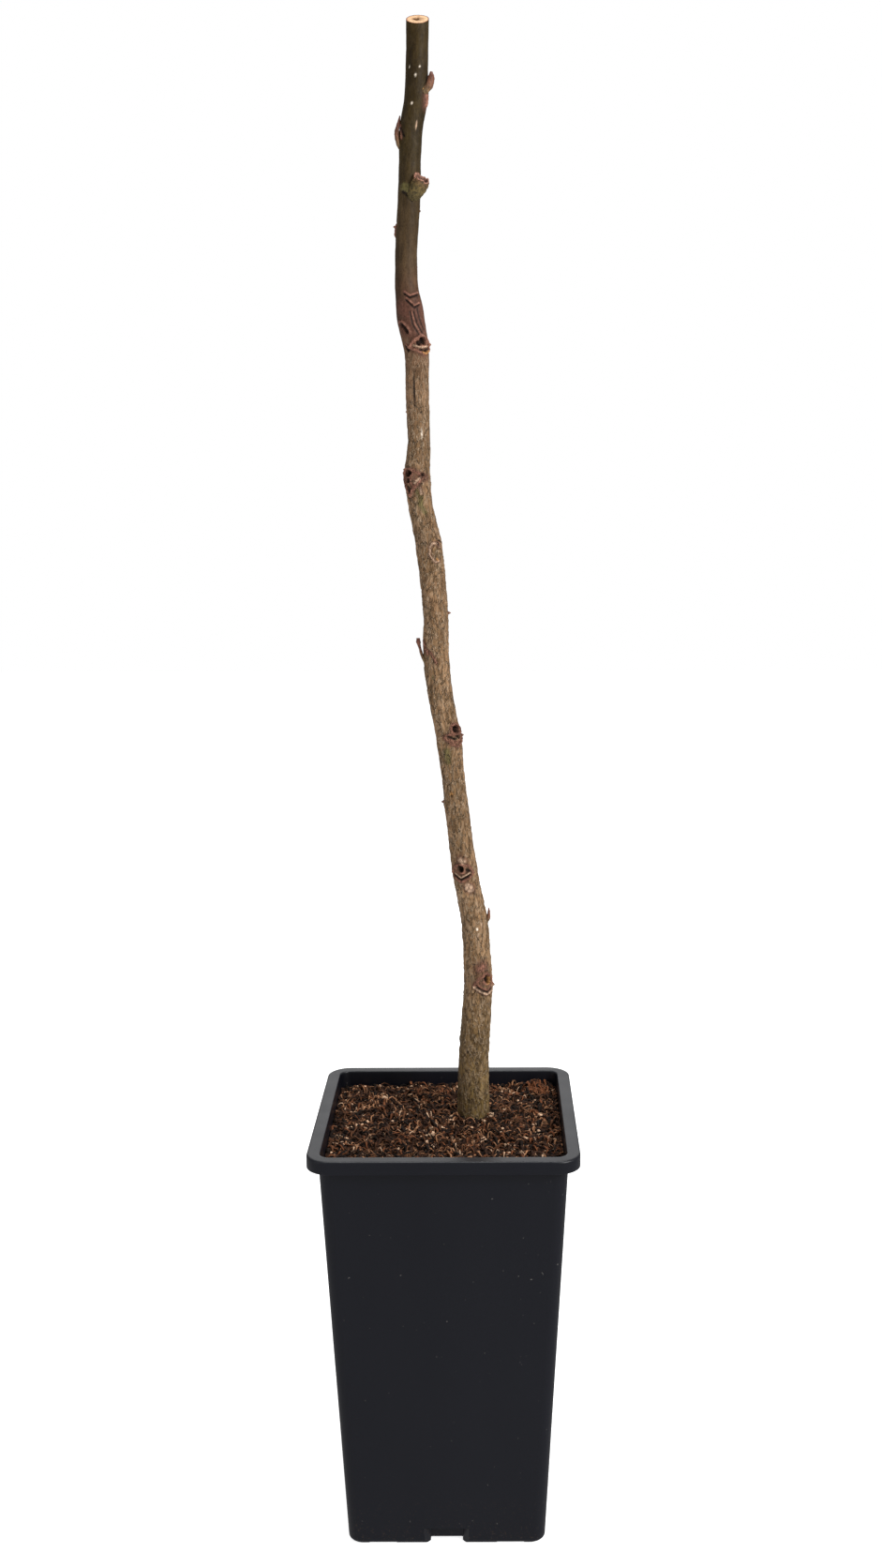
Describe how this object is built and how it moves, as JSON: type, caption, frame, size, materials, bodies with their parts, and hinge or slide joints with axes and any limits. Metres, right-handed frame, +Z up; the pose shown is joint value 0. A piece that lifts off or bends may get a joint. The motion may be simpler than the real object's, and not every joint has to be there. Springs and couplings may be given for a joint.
{
  "type": "potted walnut tree",
  "caption": "Young bare walnut stem with leaf scars, buds, a broken side shoot and a slanting pruning cut, standing in compost in a deep square tapered nursery pot.",
  "frame": {"origin": "under the middle of the pot, on the level that its feet stand on", "axes": "+Z up along the stem, +X to the right and -Y towards the viewer as the stem's leaf scars are seen; the pot's sides are square to X and Y"},
  "size_m": [0.18, 0.18, 1.0144],
  "materials": {
    "pot_plastic": "satin moulded, near black with a blue cast",
    "potting_compost": "loose dark bark fines, fibre and pale chips",
    "bark": "young grey-brown bark, olive at the foot and the top",
    "bud": "dull red-brown bud scales"
  },
  "bodies": {
    "root": {"pot": "pot_plastic", "compost": "potting_compost", "trunk": "bark", "bud_top_right": "bud", "bud_top_left": "bud", "broken_shoot": "bud", "spur_left": "bud", "bud_low_right": "bud", "bud_back": "bud", "bud_top_back": "bud"}
  },
  "joints": []
}
